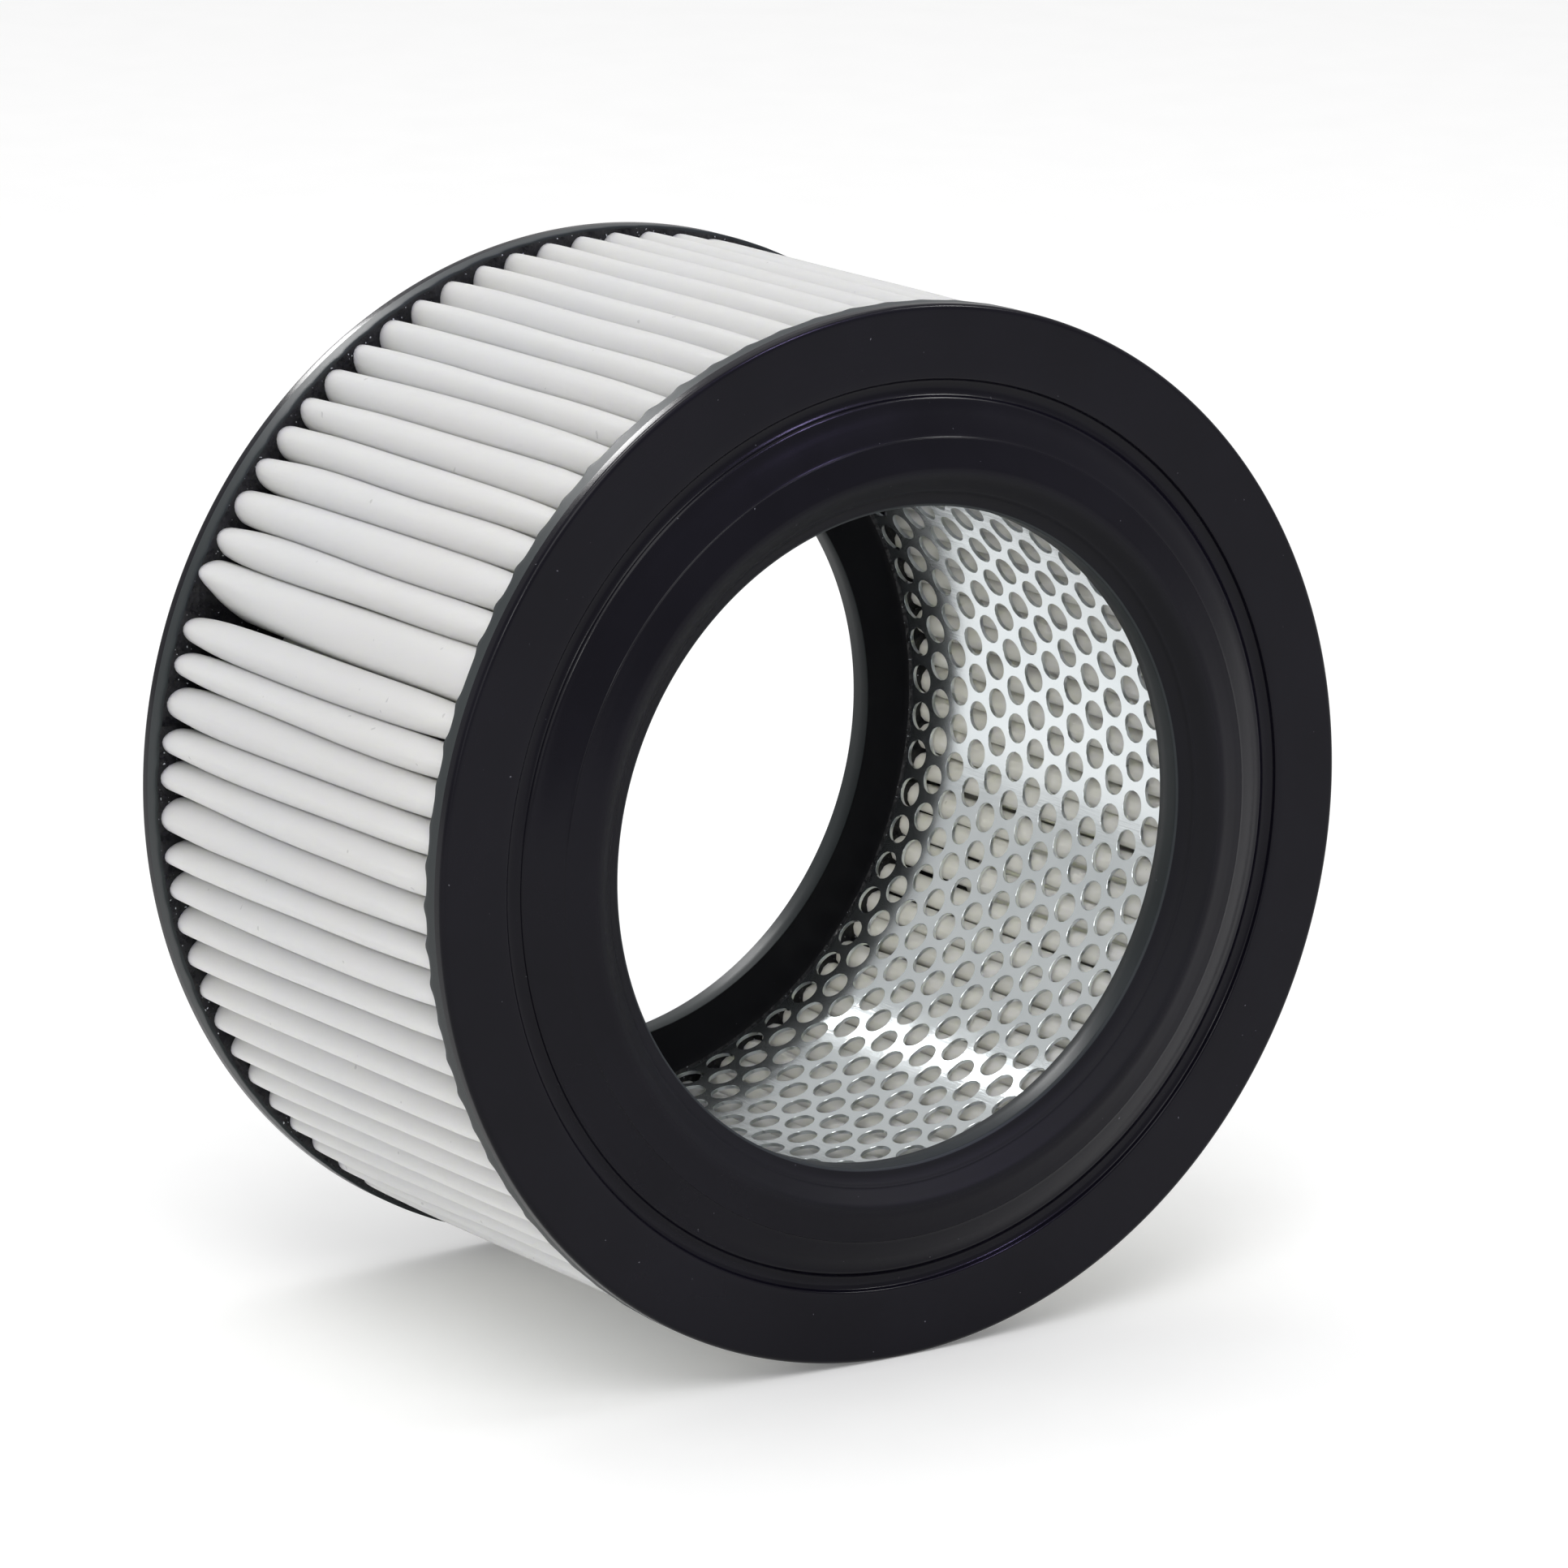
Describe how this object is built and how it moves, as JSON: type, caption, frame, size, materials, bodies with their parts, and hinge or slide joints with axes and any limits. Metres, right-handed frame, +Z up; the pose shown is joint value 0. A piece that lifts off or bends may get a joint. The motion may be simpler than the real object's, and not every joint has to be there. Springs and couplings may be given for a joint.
{
  "type": "air filter",
  "caption": "Round pleated air filter element with two moulded end caps, a ring of white pleats and a perforated metal liner around an open bore.",
  "frame": {"origin": "on the ground under the middle of the element, which stands on its rim", "axes": "the filter's axis runs along Y, the front cap faces -Y, +Z is up"},
  "size_m": [0.136, 0.08, 0.136],
  "materials": {
    "end_cap": "satin moulded polyurethane",
    "media": "matt white fleece",
    "seam": "cured seam adhesive",
    "liner": "bright tinned sheet"
  },
  "bodies": {
    "root": {"front_end_cap": "end_cap", "rear_end_cap": "end_cap", "pleated_media": "media", "media_seam": "seam", "inner_liner": "liner"}
  },
  "joints": []
}
